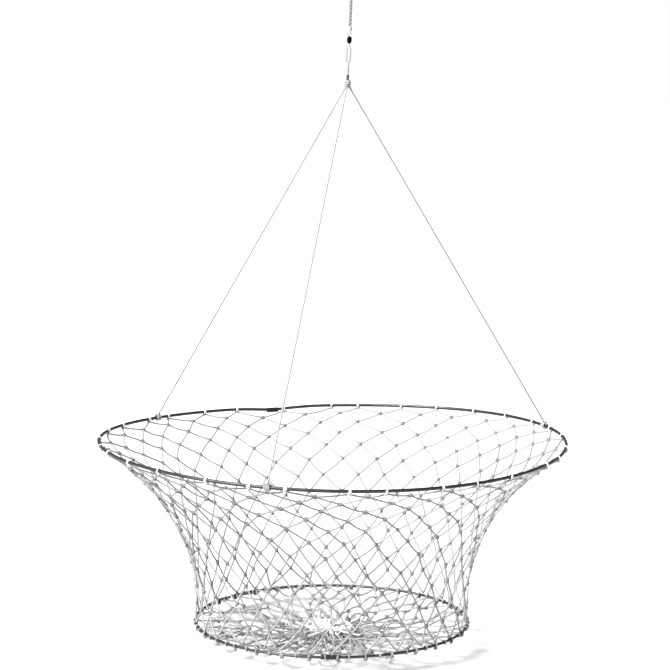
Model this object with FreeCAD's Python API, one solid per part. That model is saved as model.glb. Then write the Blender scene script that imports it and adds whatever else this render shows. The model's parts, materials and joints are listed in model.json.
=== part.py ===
import FreeCAD, Part
import math
import os

# Folding crab trap: two wire hoops joined by knotted netting, hung from a three-leg bridle.
#
# Lengths are millimetres, +Z is up, and the origin is the inside top of the hand loop, the point
# that a hook or a hand bears on. The basket (hoops and netting) is built level about the middle
# of its upper hoop, and is then leaned and lowered to where it hangs.

Vector = FreeCAD.Vector

# Basket
HOOP_DIAMETER = 610.0       # upper hoop, on the wire's centreline
BASE_DIAMETER = 360.0       # lower hoop, on the wire's centreline
BASKET_DEPTH = 240.0        # between the two hoops' planes
HOOP_WIRE = 4.2
BASE_WIRE = 3.6
BASKET_LEAN = 2.0           # degrees, the +X side hangs high: the legs aren't quite equal
HOOP_WARP = 4.5             # the spring-wire hoop is this much out of flat, twice round
WARP_HIGH = 21.0            # degrees, where the warp is highest
JOINT_DIP = 4.0             # the hoop droops at its joint
JOINT_ANGLE = 107.0         # degrees, the upper hoop's joint
DIP_SPREAD = 6.0            # degrees
SLEEVE_LENGTH = 17.0
SLEEVE_WALL = 1.3
BASE_SLEEVE_LENGTH = 24.0
BASE_SLEEVE_WALL = 1.0
BASE_JOINT_ANGLE = 270.0    # degrees, the lower hoop's joint

# Netting
MESHES_ROUND = 32
KNOT_ROWS = 12              # rows of knots between the hoops
TWINE = 1.8
NET_WALL = 1.2              # the netting's solid, a plain skin
FLARE_POWER = 2.6           # how late the flare opens: higher is nearer the upper hoop
WAIST_TUCK = 2.7            # the netting just above the lower hoop is this far inside it
WAIST_POWER = 6.0           # how suddenly the netting comes out again to the lower hoop
BOTTOM_SAG = 19.0
BOTTOM_BELLY = 0.72         # share of the sag that is reached half-way in
GATHER_RADIUS = 11.0        # hole that the draw cord closes
DRAW_CORD = 2.4
GATHER_WIDTH = 50.0         # bunched meshes over the draw cord
GATHER_HEIGHT = 13.0
BIGHT_CORD = 2.2            # loose bight of the base lashing, at the lower hoop's joint
BIGHT_WIDTH = 28.0
BIGHT_DROP = 7.0

# Bridle
BRIDLE_RISE = 461.0         # underside of the apex knot over the upper hoop
BRIDLE_CORD = 2.4
LEG_START = 19.7            # degrees, the right leg
LEG_ANGLES = {"right": 0.0, "left": 123.75, "front": 236.25}   # from the right leg
HITCH_LENGTH = 7.0
HITCH_WALL = 1.9
HITCH_KNOT = 7.2            # across the knot on top of the turns
APEX_KNOT = 9.0
APEX_KNOT_HEIGHT = 10.0
CRIMP_HEIGHT = 6.0
CRIMP_WALL = 0.5
BRIDLE_LOOP_HEIGHT = 17.5   # from the crimp to the middle of the loop's top cord

# Connector link and swivel
LINK_WIRE = 1.2
LINK_LENGTH = 21.0          # between the centres of its end wires
LINK_WIDTH = 4.6            # between the centres of its side wires
EYE_WIRE = 1.1
EYE_DIAMETER = 4.4          # centreline of the swivel's eyes
EYE_GAP = 0.3               # between an eye's ring and the barrel
STEM = 1.4
STEM_HEAD = 3.2
STEM_HEAD_HEIGHT = 1.2
BARREL_DIAMETER = 6.2
BARREL_HEIGHT = 8.6
BARREL_WALL = 1.1
RUNNING_GAP = 0.08          # radial, round a turning stem

# Haul line
HAUL_CORD = 4.0
HAUL_LENGTH = 45.0          # straight stretch from the whipping to the hand loop's knot
END_LOOP_CORD = 1.4
END_LOOP_LENGTH = 4.6
WHIPPING_HEIGHT = 7.0
WHIPPING_WALL = 0.7
WHIPPING_OVERHANG = 2.2     # how far it goes on over the end loop
LOOP_KNOT = 11.0
LOOP_KNOT_HEIGHT = 15.0
HAND_LOOP_RADIUS = 15.0     # centreline, where a hook bears
HAND_LOOP_LENGTH = 60.0     # inside top of the loop to the knot

SOFT_GAP = 0.3              # between a soft solid and a piece of another body
TOUCH_GAP = 0.1             # between pieces of one body that are only tied together
KNOT_ENDS = 0.72            # a knot's ends, as a share of its widest place
WHIPPING_ENDS = 0.85


# Levels, from the hand loop down
loop_knot_top = -HAND_LOOP_LENGTH
haul_top = loop_knot_top - LOOP_KNOT_HEIGHT
haul_bottom = haul_top - HAUL_LENGTH
end_bend = haul_bottom - END_LOOP_LENGTH
upper_eye_z = end_bend + END_LOOP_CORD / 2 + EYE_WIRE / 2 + TOUCH_GAP - EYE_DIAMETER / 2
barrel_top = upper_eye_z - EYE_DIAMETER / 2 - EYE_WIRE / 2 - EYE_GAP
barrel_bottom = barrel_top - BARREL_HEIGHT
lower_eye_z = barrel_bottom - EYE_GAP - EYE_WIRE / 2 - EYE_DIAMETER / 2
swing_z = lower_eye_z - EYE_DIAMETER / 2
link_top = swing_z + (EYE_WIRE + LINK_WIRE) / 2 + TOUCH_GAP
link_bottom = link_top - LINK_LENGTH
bridle_loop_top = link_bottom + (LINK_WIRE + BRIDLE_CORD) / 2 + TOUCH_GAP
crimp_top = bridle_loop_top - BRIDLE_LOOP_HEIGHT
apex_top = crimp_top - CRIMP_HEIGHT
apex_z = apex_top - APEX_KNOT_HEIGHT / 2
hoop_z = apex_top - APEX_KNOT_HEIGHT - BRIDLE_RISE

hoop_radius = HOOP_DIAMETER / 2
base_radius = BASE_DIAMETER / 2
pitch = 360.0 / MESHES_ROUND
loop_width = LINK_WIRE + BRIDLE_CORD + 2 * TOUCH_GAP


def polar(radius, angle, z):
    """The point at an angle in degrees round the Z axis."""
    return Vector(radius * math.cos(math.radians(angle)), radius * math.sin(math.radians(angle)), z)


def warp(angle):
    """How far the upper hoop stands over its own mean plane."""
    off_joint = (angle - JOINT_ANGLE + 180.0) % 360.0 - 180.0
    dip = JOINT_DIP * math.exp(-((off_joint / DIP_SPREAD) ** 2))
    return HOOP_WARP * math.cos(math.radians(2 * (angle - WARP_HIGH))) - dip


def path(points, closed=False, share=0.45):
    """Straight runs joined by tangent arcs, each as large as its two runs allow."""
    corners = list(points) if closed else list(points)[1:-1]
    count = len(points)
    edges, last = [], None if closed else points[0]
    for i, corner in enumerate(corners):
        before = points[(i - 1) % count] if closed else points[i]
        after = points[(i + 1) % count] if closed else points[i + 2]
        into, out = corner - before, after - corner
        reach = share * min(into.Length, out.Length)
        into.normalize()
        out.normalize()
        turn = into.getAngle(out)
        start, end = corner - into * reach, corner + out * reach
        radius = reach / math.tan(turn / 2)
        bisector = (out - into).normalize()
        middle = corner + bisector * (radius / math.cos(turn / 2) - radius)
        if last is not None:
            edges.append(Part.LineSegment(last, start).toShape())
        edges.append(Part.Arc(start, middle, end).toShape())
        last = end
    finish = edges[0].Vertexes[0].Point if closed else points[-1]
    edges.append(Part.LineSegment(last, finish).toShape())
    return Part.Wire(edges)


def tube(name, wire, diameter):
    """A round section carried along a smooth wire. Prints what shows that it came out right."""
    edge = wire.Edges[0]
    start, along = edge.valueAt(edge.FirstParameter), edge.tangentAt(edge.FirstParameter)
    section = Part.Wire(Part.makeCircle(diameter / 2, start, along))
    pipe = wire.makePipeShell([section], True, True)
    share = pipe.Volume / (math.pi * diameter**2 / 4 * wire.Length)
    radii = [round(e.Curve.Radius, 1) for e in wire.Edges if hasattr(e.Curve, "Radius")]
    print(f"{name}: {wire.Length:.1f} mm long, volume over section times length {share:.4f},")
    print(f"    radii {sorted(set(radii))}")
    return pipe


def rod(start, end, diameter):
    """A straight round bar between two points."""
    return Part.makeCylinder(diameter / 2, (end - start).Length, start, end - start)


def barrel_shape(diameter, low, high, ends=KNOT_ENDS):
    """A round body with bowed sides, standing on the Z axis. Its ends are a share as wide."""
    radius = diameter / 2
    top, bottom = Vector(radius * ends, 0, high), Vector(radius * ends, 0, low)
    side = Part.Arc(bottom, Vector(radius, 0, (low + high) / 2), top).toShape()
    rest = Part.makePolygon([top, Vector(0, 0, high), Vector(0, 0, low), bottom])
    outline = Part.Face(Part.Wire([side] + rest.Edges))
    return outline.revolve(Vector(0, 0, 0), Vector(0, 0, 1), 360)


def leaned(shape):
    """Takes a piece of the basket from its level place to where it hangs."""
    shape = shape.copy()
    shape.rotate(Vector(0, 0, 0), Vector(0, 1, 0), -BASKET_LEAN)
    shape.translate(Vector(0, 0, hoop_z))
    return shape


def leaned_point(point):
    return leaned(Part.Vertex(point)).Point


# Basket, level


def hoop_corners():
    """The upper hoop's corner points, two to a mesh, outside its circle by the arcs' bulge."""
    half = pitch / 4
    grow = 1 / math.cos(math.radians(half))
    angles = [LEG_START + half * (2 * k + 1) for k in range(2 * MESHES_ROUND)]
    return [polar(hoop_radius * grow, a, warp(a)) for a in angles]


def on_run(corners, place):
    """The middle of one of the upper hoop's runs, and the run's direction."""
    before, after = corners[place - 1], corners[place % len(corners)]
    return (before + after) / 2, (after - before).normalize()


def leg_place(name):
    """The mesh that a leg is tied over."""
    return round(LEG_ANGLES[name] / pitch)


def upper_hoop():
    return tube("upper hoop", path(hoop_corners(), closed=True), HOOP_WIRE)


def hoop_sleeve(hoop):
    """Crimped sleeve over the upper hoop's butted ends."""
    corners = hoop_corners()
    place = round((JOINT_ANGLE - LEG_START) / (pitch / 2))
    middle, along = on_run(corners, place)
    half = along * (SLEEVE_LENGTH / 2)
    sleeve = rod(middle - half, middle + half, HOOP_WIRE + 2 * SLEEVE_WALL)
    return sleeve.cut(hoop)


def lashing_ring(middle, along, wire, twine):
    """One turn of twine round a hoop's wire."""
    return Part.makeTorus((wire + twine) / 2 + TOUCH_GAP, twine / 2, middle, along)


def rim_lashing():
    corners = hoop_corners()
    turns = []
    for k in range(MESHES_ROUND):
        middle, along = on_run(corners, 2 * k + 1)
        turns.append(lashing_ring(middle, along, HOOP_WIRE, TWINE))
    return Part.makeCompound(turns)


def hitch(place, hoop):
    """A leg's hitch: a sleeve of cord turns round the hoop with the knot on top."""
    middle, along = on_run(hoop_corners(), 2 * place)
    half = along * (HITCH_LENGTH / 2)
    turns = rod(middle - half, middle + half, HOOP_WIRE + 2 * HITCH_WALL)
    return turns.fuse(Part.makeSphere(HITCH_KNOT / 2, middle + knot_offset())).cut(hoop)


def knot_offset():
    return Vector(0, 0, HOOP_WIRE / 2 + HITCH_WALL)


def profile(share):
    """The side netting's (radius, drop) a share of the way down from the upper hoop."""
    waist = base_radius - WAIST_TUCK
    flare = (hoop_radius - waist) * (1 - share) ** FLARE_POWER
    return waist + flare + WAIST_TUCK * share**WAIST_POWER, BASKET_DEPTH * share


def net_point(row, place, offset):
    """A knot of the side netting, moved off the middle of its skin."""
    top = (HOOP_WIRE / 2 + TWINE + 3 * TOUCH_GAP) / BASKET_DEPTH
    bottom = 1 - (BASE_WIRE / 2 + TWINE + 3 * TOUCH_GAP + SOFT_GAP) / BASKET_DEPTH
    share = top + (bottom - top) * row / (KNOT_ROWS + 1)
    radius, drop = profile(share)
    near, far = profile(share - 0.005), profile(share + 0.005)
    slope = math.atan2(near[0] - far[0], far[1] - near[1])
    angle = LEG_START + pitch * (place + row / 2)
    out, up = offset * math.cos(slope), -offset * math.sin(slope)
    return polar(radius + out, angle, warp(angle) * (1 - share) - drop + up)


def side_netting():
    """The side netting as a skin of flat facets with a corner at every knot."""
    rows = range(KNOT_ROWS + 2)
    grids = [
        [[net_point(r, p, offset) for p in range(MESHES_ROUND)] for r in rows]
        for offset in (NET_WALL / 2, -NET_WALL / 2)
    ]
    triangles = []
    for grid, flip in zip(grids, (False, True)):
        for above, below in zip(grid, grid[1:]):
            for p in range(MESHES_ROUND):
                n = (p + 1) % MESHES_ROUND
                pair = [(above[p], below[p], above[n]), (above[n], below[p], below[n])]
                triangles += [t[::-1] if flip else t for t in pair]
    for row, flip in ((0, True), (-1, False)):
        outer, inner = grids[0][row], grids[1][row]
        for p in range(MESHES_ROUND):
            n = (p + 1) % MESHES_ROUND
            pair = [(outer[p], outer[n], inner[p]), (outer[n], inner[n], inner[p])]
            triangles += [t[::-1] if flip else t for t in pair]
    faces = [Part.Face(Part.makePolygon([a, b, c, a])) for a, b, c in triangles]
    solid = Part.Solid(Part.Shell(faces))
    if solid.Volume < 0:
        solid.reverse()
    return solid


def lower_hoop():
    return Part.makeTorus(base_radius, BASE_WIRE / 2, Vector(0, 0, -BASKET_DEPTH))


def lower_hoop_sleeve(hoop):
    """Crimped sleeve over the lower hoop's butted ends."""
    middle = polar(base_radius, BASE_JOINT_ANGLE, -BASKET_DEPTH)
    half = polar(BASE_SLEEVE_LENGTH / 2, BASE_JOINT_ANGLE + 90, 0)
    return rod(middle - half, middle + half, BASE_WIRE + 2 * BASE_SLEEVE_WALL).cut(hoop)


def loose_bight():
    """A bight of the base lashing that hangs under the lower hoop's joint."""
    half = math.degrees(BIGHT_WIDTH / 2 / base_radius)
    top = -BASKET_DEPTH - BASE_WIRE / 2 - BIGHT_CORD / 2 - BASE_SLEEVE_WALL - TOUCH_GAP
    stations = ((1.0, 0.0), (0.72, 0.55), (0.1, 0.95), (-0.55, 1.0), (-0.95, 0.6), (-1.05, 0.0))
    points = [
        polar(base_radius, BASE_JOINT_ANGLE + half * side, top - BIGHT_DROP * down)
        for side, down in stations
    ]
    return tube("loose bight", path(points), BIGHT_CORD)


def base_lashing():
    turns = [loose_bight()]
    for k in range(MESHES_ROUND):
        angle = LEG_START + pitch * (k + 0.75)
        middle, along = polar(base_radius, angle, -BASKET_DEPTH), polar(1, angle + 90, 0)
        turns.append(lashing_ring(middle, along, BASE_WIRE, TWINE))
    return Part.makeCompound(turns)


def bottom_outline():
    """Ends and middle of the bottom netting's upper side, as (radius, z)."""
    outer = base_radius - BASE_WIRE / 2 - TWINE - 3 * TOUCH_GAP
    inner = GATHER_RADIUS
    return (
        Vector(outer, 0, -BASKET_DEPTH),
        Vector((outer + inner) / 2, 0, -BASKET_DEPTH - BOTTOM_SAG * BOTTOM_BELLY),
        Vector(inner, 0, -BASKET_DEPTH - BOTTOM_SAG),
    )


def bottom_netting():
    """The bottom netting, a sagging skin with the hole that the draw cord closes."""
    upper = bottom_outline()
    thick = Vector(0, 0, -NET_WALL)
    lower = [p + thick for p in upper]
    edges = [
        Part.Arc(*upper).toShape(),
        Part.LineSegment(upper[2], lower[2]).toShape(),
        Part.Arc(*lower).toShape(),
        Part.LineSegment(lower[0], upper[0]).toShape(),
    ]
    face = Part.Face(Part.Wire(Part.__sortEdges__(edges)))
    return face.revolve(Vector(0, 0, 0), Vector(0, 0, 1), 360)


def draw_cord():
    """The cord that closes the bottom netting."""
    z = -BASKET_DEPTH - BOTTOM_SAG - NET_WALL / 2
    return Part.makeTorus(GATHER_RADIUS - DRAW_CORD / 2 - TOUCH_GAP, DRAW_CORD / 2, Vector(0, 0, z))


def gathered_netting(below):
    """The bunch of meshes that the draw cord has pulled together, lying on the bottom."""
    base = -BASKET_DEPTH - BOTTOM_SAG - NET_WALL - DRAW_CORD / 2
    bunch = barrel_shape(GATHER_WIDTH, base, base + GATHER_HEIGHT)
    for piece in below:
        bunch = bunch.cut(piece)
    return max(bunch.Solids, key=lambda s: s.Volume)


# Bridle, swivel and haul line, on the Z axis

def bridle_leg(place, knot):
    """A leg, straight from the apex knot to its hitch."""
    foot = leaned_point(on_run(hoop_corners(), 2 * place)[0] + knot_offset())
    apex = Vector(0, 0, apex_z)
    along = (apex - foot).normalize()
    start = foot + along * (HITCH_KNOT / 2 + SOFT_GAP)
    return rod(start, apex, BRIDLE_CORD).cut(knot)


def apex_knot():
    return barrel_shape(APEX_KNOT, apex_top - APEX_KNOT_HEIGHT, apex_top)


def stadium(name, width, top, bottom, wire, across):
    """A long link: two straight sides and two half-round ends, in the plane of Z and across."""
    half = across * (width / 2)
    high = Vector(0, 0, top - width / 2)
    low = Vector(0, 0, bottom + width / 2)
    edges = [
        Part.LineSegment(low - half, high - half).toShape(),
        Part.Arc(high - half, Vector(0, 0, top), high + half).toShape(),
        Part.LineSegment(high + half, low + half).toShape(),
        Part.Arc(low + half, Vector(0, 0, bottom), low - half).toShape(),
    ]
    return tube(name, Part.Wire(edges), wire)


def bight(name, width, bend, ends, cord, across):
    """A cord doubled over: a half-round bend with both ends at one level."""
    half = across * (width / 2)
    way = 1 if bend > ends else -1
    shoulder = Vector(0, 0, bend - way * width / 2)
    level = Vector(0, 0, ends)
    edges = [
        Part.LineSegment(level - half, shoulder - half).toShape(),
        Part.Arc(shoulder - half, Vector(0, 0, bend), shoulder + half).toShape(),
        Part.LineSegment(shoulder + half, level + half).toShape(),
    ]
    return tube(name, Part.Wire(edges), cord)


def connector_link():
    across = Vector(1, 0, 0)
    return stadium("connector link", LINK_WIDTH, link_top, link_bottom, LINK_WIRE, across)


def bridle_loop():
    across = Vector(0, 1, 0)
    return bight("bridle loop", loop_width, bridle_loop_top, apex_top, BRIDLE_CORD, across)


def bridle_crimp(loop):
    """A flat ferrule squeezed over both cords of the bridle's loop."""
    thick = BRIDLE_CORD + 2 * CRIMP_WALL
    corner = Vector(-thick / 2, -loop_width / 2, apex_top)
    body = Part.makeBox(thick, loop_width, CRIMP_HEIGHT, corner)
    for side in (-1, 1):
        edge = Vector(0, side * loop_width / 2, apex_top)
        body = body.fuse(Part.makeCylinder(thick / 2, CRIMP_HEIGHT, edge))
    return body.removeSplitter().cut(loop)


def swivel_eye(centre_z, barrel_end, way, across):
    """An eye, its stem through the barrel's end, and the head that keeps it there."""
    ring = Part.makeTorus(EYE_DIAMETER / 2, EYE_WIRE / 2, Vector(0, 0, centre_z), across)
    inside = barrel_end - way * (BARREL_WALL + RUNNING_GAP)
    stem_start = Vector(0, 0, centre_z - way * EYE_DIAMETER / 2)
    stem = rod(stem_start, Vector(0, 0, inside), STEM)
    head_end = Vector(0, 0, inside - way * STEM_HEAD_HEIGHT)
    return ring.fuse([stem, rod(Vector(0, 0, inside), head_end, STEM_HEAD)])


def swivel_barrel():
    """The swivel's hollow barrel, open at each end for a stem."""
    hole = STEM / 2 + RUNNING_GAP
    bore = STEM_HEAD / 2 + 2 * RUNNING_GAP
    outside = barrel_shape(BARREL_DIAMETER, barrel_bottom, barrel_top)
    cavity = Part.makeCylinder(
        bore, BARREL_HEIGHT - 2 * BARREL_WALL, Vector(0, 0, barrel_bottom + BARREL_WALL)
    )
    through = Part.makeCylinder(hole, BARREL_HEIGHT, Vector(0, 0, barrel_bottom))
    return outside.cut(cavity.fuse(through))


def haul_end_loop():
    """The line's thinned end, passed through the swivel's upper eye."""
    width = EYE_WIRE + END_LOOP_CORD + 4 * TOUCH_GAP
    across = Vector(0, 1, 0)
    return bight("haul end loop", width, end_bend, haul_bottom, END_LOOP_CORD, across)


def haul_line():
    return rod(Vector(0, 0, haul_bottom), Vector(0, 0, haul_top), HAUL_CORD)


def haul_whipping(line, loop):
    """Twine bound over the line's end and the small loop below it."""
    low = haul_bottom - WHIPPING_OVERHANG
    across = HAUL_CORD + 2 * WHIPPING_WALL
    sleeve = barrel_shape(across, low, low + WHIPPING_HEIGHT, WHIPPING_ENDS)
    return sleeve.cut(line).cut(loop)


def hand_loop(knot):
    """A teardrop loop that a hook or a hand holds, from the knot that both its ends leave."""
    centre = Vector(0, 0, HAUL_CORD / 2 - HAND_LOOP_RADIUS)
    foot = Vector(HAUL_CORD / 2 + TOUCH_GAP, 0, loop_knot_top)
    reach = foot - centre
    lean = math.acos(HAND_LOOP_RADIUS / reach.Length)
    angle = math.atan2(reach.z, reach.x) + lean
    side = Vector(math.cos(angle), 0, math.sin(angle)) * HAND_LOOP_RADIUS
    mirrored = Vector(-side.x, 0, side.z)
    edges = [
        Part.LineSegment(foot, centre + side).toShape(),
        Part.Arc(
            centre + side, centre + Vector(0, 0, HAND_LOOP_RADIUS), centre + mirrored
        ).toShape(),
        Part.LineSegment(centre + mirrored, Vector(-foot.x, 0, foot.z)).toShape(),
    ]
    return tube("hand loop", Part.Wire(edges), HAUL_CORD).cut(knot)


def hand_loop_knot():
    return barrel_shape(LOOP_KNOT, haul_top, loop_knot_top)


def make():
    """Every sub-part, by name, where it hangs."""
    hoop, base_hoop = upper_hoop(), lower_hoop()
    bottom, cord = bottom_netting(), draw_cord()
    basket = {
        "upper_hoop": hoop,
        "upper_hoop_sleeve": hoop_sleeve(hoop),
        "rim_lashing": rim_lashing(),
        "side_netting": side_netting(),
        "lower_hoop": base_hoop,
        "lower_hoop_sleeve": lower_hoop_sleeve(base_hoop),
        "base_lashing": base_lashing(),
        "bottom_netting": bottom,
        "draw_cord": cord,
        "gathered_netting": gathered_netting([bottom, cord]),
    }
    for name in LEG_ANGLES:
        basket[f"bridle_hitch_{name}"] = hitch(leg_place(name), hoop)
    parts = {name: leaned(shape) for name, shape in basket.items()}
    knot, top_knot = apex_knot(), hand_loop_knot()
    for name in LEG_ANGLES:
        parts[f"bridle_leg_{name}"] = bridle_leg(leg_place(name), knot)
    loop, line, end_loop = bridle_loop(), haul_line(), haul_end_loop()
    parts |= {
        "bridle_apex_knot": knot,
        "bridle_loop": loop,
        "bridle_crimp": bridle_crimp(loop),
        "connector_link": connector_link(),
        "swivel_lower_eye": swivel_eye(lower_eye_z, barrel_bottom, -1, Vector(1, 0, 0)),
        "swivel_barrel": swivel_barrel(),
        "swivel_upper_eye": swivel_eye(upper_eye_z, barrel_top, 1, Vector(0, 1, 0)),
        "haul_end_loop": end_loop,
        "haul_line": line,
        "haul_whipping": haul_whipping(line, end_loop),
        "hand_loop": hand_loop(top_knot),
        "hand_loop_knot": top_knot,
    }
    return parts


def main():
    os.makedirs("parts", exist_ok=True)
    for name, shape in make().items():
        solids = shape.Solids
        sound = all(s.isValid() and s.Volume > 0 for s in solids)
        print(f"{name}: {len(solids)} solid(s), {shape.Volume:.1f} mm3, sound {sound}")
        shape.exportStep(f"parts/{name}.step")
    print(f"barrel top {barrel_top:.2f}, link pin {swing_z:.2f}, apex {apex_z:.2f}, hoop {hoop_z:.2f}")


main()
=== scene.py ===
import json
import math
import random

import bpy
from mathutils import Matrix, Vector


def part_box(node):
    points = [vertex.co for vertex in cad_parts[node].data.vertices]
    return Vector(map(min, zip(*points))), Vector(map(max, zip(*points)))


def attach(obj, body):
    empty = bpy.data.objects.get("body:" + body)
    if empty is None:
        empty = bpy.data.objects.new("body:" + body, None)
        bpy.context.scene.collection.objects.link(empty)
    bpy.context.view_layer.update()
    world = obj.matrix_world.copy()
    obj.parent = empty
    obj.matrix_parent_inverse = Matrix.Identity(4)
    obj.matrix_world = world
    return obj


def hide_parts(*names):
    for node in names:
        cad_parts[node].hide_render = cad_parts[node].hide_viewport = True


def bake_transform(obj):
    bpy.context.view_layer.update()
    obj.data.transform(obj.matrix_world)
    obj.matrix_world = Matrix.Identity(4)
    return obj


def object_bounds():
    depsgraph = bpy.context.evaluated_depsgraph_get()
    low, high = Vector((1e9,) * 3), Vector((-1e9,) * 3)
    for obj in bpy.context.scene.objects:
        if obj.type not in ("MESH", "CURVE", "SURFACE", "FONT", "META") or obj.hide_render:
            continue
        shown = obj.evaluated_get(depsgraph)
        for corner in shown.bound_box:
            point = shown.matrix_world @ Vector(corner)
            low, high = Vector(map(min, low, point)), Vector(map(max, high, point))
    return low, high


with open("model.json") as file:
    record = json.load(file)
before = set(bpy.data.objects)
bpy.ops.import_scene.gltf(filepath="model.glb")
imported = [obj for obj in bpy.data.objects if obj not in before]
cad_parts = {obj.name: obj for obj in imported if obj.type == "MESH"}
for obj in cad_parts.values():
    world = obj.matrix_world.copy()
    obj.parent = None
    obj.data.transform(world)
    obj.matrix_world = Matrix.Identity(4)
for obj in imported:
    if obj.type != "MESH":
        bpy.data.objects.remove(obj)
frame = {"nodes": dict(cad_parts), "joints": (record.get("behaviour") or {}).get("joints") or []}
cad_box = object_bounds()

bl_info = {
    "name": "Folding crab trap",
    "version": (1, 0, 0),
    "blender": (4, 5, 0),
    "location": "3D View > Sidebar > Crab trap",
    "description": "Models the looks of a two-hoop crab trap round its packed frame",
    "category": "Add Mesh",
}

# Everything is in metres. The basket is worked out level about the middle of its upper hoop,
# and HANG then takes it to where it hangs.

JOINTS = {joint["name"]: joint for joint in frame["joints"]}
HOOP_Z = JOINTS["basket_fold"]["deforming_nodes"][0]["fixed_end_z_m"]
FOLD_AXIS = Vector(JOINTS["basket_fold"]["axis"])
LEAN = math.atan2(FOLD_AXIS.x, FOLD_AXIS.z)
HANG = Matrix.Translation((0, 0, HOOP_Z)) @ Matrix.Rotation(LEAN, 4, "Y")

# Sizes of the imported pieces, which the new pieces fit

HOOP_RADIUS = 0.305         # the hoops' radii are to their wires' centrelines
BASE_RADIUS = 0.180
BASKET_DEPTH = 0.240
HOOP_WIRE = 0.0042
BASE_WIRE = 0.0036
HOOP_WARP = 0.0045          # the upper hoop is this much out of flat, twice round
WARP_HIGH = 21.0            # where the warp is highest; angles on the hoops are in degrees
JOINT_DIP = 0.004           # the upper hoop droops at its joint
JOINT_ANGLE = 107.0
DIP_SPREAD = 6.0            # each way, for the droop to shrink to about a third
SLEEVE_LENGTH = 0.017
SLEEVE_WALL = 0.0013
BASE_JOINT_ANGLE = 270.0
BASE_SLEEVE_LENGTH = 0.024
BASE_SLEEVE_WALL = 0.0010
LEG_START = 19.7            # where the right leg is hitched
LEG_ANGLES = {"right": 0.0, "left": 123.75, "front": 236.25}    # from the right leg
FLARE_POWER = 2.6           # how late the netting's flare opens: higher is nearer the upper hoop
WAIST_TUCK = 0.0027         # the netting just above the lower hoop is this far inside it
WAIST_POWER = 6.0           # how suddenly it comes out again to the lower hoop
BOTTOM_SAG = 0.019
HITCH_WALL = 0.0019         # how thick a hitch's turns lie on the upper hoop
BIGHT_WIDTH = 0.028         # the lashing's loose bight, at the lower hoop's joint
BIGHT_DROP = 0.007
HAND_LOOP_RADIUS = 0.015    # centreline, where a hook bears

# Sizes of the turns, knots and strands that only the new pieces have

BELLY_POWER = 1.84          # the bottom netting reaches most of its sag in its outer half
GATHER_RADIUS = 0.0125      # ring of the bottom's last knots, on the draw cord
DRAW_RING = 0.0105          # the draw cord's own ring inside them
TIE_STRAY = 0.2             # share of a mesh that a tie on the upper hoop is off its even place
CLOSE_LASHING = (92.0, 162.0)    # from and to, where the lower hoop is lashed over and over
APEX_RADIUS = 0.0031        # centreline of the apex knot's turns
ARC_STEPS = 12              # steps round a narrow loop's bend
ROPE_LAY = 0.014            # one turn of the haul line's strands
STRAND_OFFSET = 0.268       # shares of a rope's diameter, for three strands that touch
STRAND_RADIUS = 0.236

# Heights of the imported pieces

APEX_LOW, APEX_HIGH = (corner.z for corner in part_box("bridle_apex_knot"))
LOOP_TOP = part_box("bridle_loop")[1].z
LINE_LOW, LINE_HIGH = (corner.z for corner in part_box("haul_line"))
LOOP_KNOT_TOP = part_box("hand_loop_knot")[1].z
END_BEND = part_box("haul_end_loop")[0].z


# Sizes and colours that a user would change


def linear(code):
    """A colour written as sRGB hex, as the linear values that a shader takes."""
    parts = [int(code[i : i + 2], 16) / 255 for i in (1, 3, 5)]
    return [p / 12.92 if p <= 0.04045 else ((p + 0.055) / 1.055) ** 2.4 for p in parts] + [1.0]


def length(name, description, default):
    """A size that a user can set, in metres."""
    return bpy.props.FloatProperty(
        name=name, description=description, default=default, unit="LENGTH", precision=4, min=0.0
    )


def count(name, description, default, least):
    """A whole number that a user can set."""
    return bpy.props.IntProperty(name=name, description=description, default=default, min=least)


def angle_of(name, description, degrees):
    """An angle that a user can set."""
    return bpy.props.FloatProperty(
        name=name, description=description, default=math.radians(degrees), subtype="ANGLE"
    )


def colour(name, description, code):
    """A colour that a user can set, written as sRGB hex."""
    return bpy.props.FloatVectorProperty(
        name=name, description=description, default=linear(code), size=4, subtype="COLOR", min=0.0, max=1.0
    )


class NettingSettings(bpy.types.PropertyGroup):
    """The knotted netting and its lashings"""

    meshes: count("Meshes round", "Meshes round each hoop", 32, 8)
    rows: count("Half rows", "Rows of bars between the hoops", 12, 4)
    bottom_rows: count("Bottom half rows", "Rows of bars from the lower hoop to the draw cord", 6, 2)
    bar: length("Bar", "Length of twine between two knots", 0.0334)
    twine: length("Twine", "Diameter of the netting's twine", 0.0024)
    knot: length("Knot", "Size of the netting's knots", 0.0054)
    lashing: length("Lashing twine", "Diameter of the twine on the hoops", 0.0016)
    unevenness: length("Unevenness", "How far a knot lies from its even place", 0.0026)
    slack: length("Slack", "How far a bar bows between its knots", 0.0016)
    crumple: length("Crumple", "How far the bottom netting's knots lie up and down", 0.0065)
    colour: colour("Twine colour", "Twisted nylon, grey from use", "#9a9a98")


class CordSettings(bpy.types.PropertyGroup):
    """The bridle, the haul line and the draw cord"""

    bridle: length("Bridle cord", "Diameter of the bridle's cords", 0.0024)
    haul: length("Haul line", "Diameter of the haul line", 0.004)
    end_loop: length("End loop cord", "Diameter of the haul line's thinned end", 0.0014)
    draw: length("Draw cord", "Diameter of the cord that closes the bottom", 0.0024)
    whipping: length("Whipping twine", "Diameter of the twine bound over the line's end", 0.0007)
    bight: length("Loose bight", "Diameter of the lashing's loose bight", 0.0022)
    bridle_colour: colour("Bridle colour", "Pale braided nylon", "#9a9a98")
    haul_colour: colour("Haul line colour", "Grey laid line", "#8b8b8b")
    # the draw cord's own white, also used as the painted highlight colour of the upper hoop's ties and the
    # bunched meshes
    draw_cord_and_highlight_colour: colour("Draw cord and highlight colour", "White nylon of the draw cord, and the painted highlight on the upper hoop's ties and the bunched meshes", "#e6e6e3")
    whipping_colour: colour("Whipping colour", "Waxed thread", "#d8d8d4")


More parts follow.
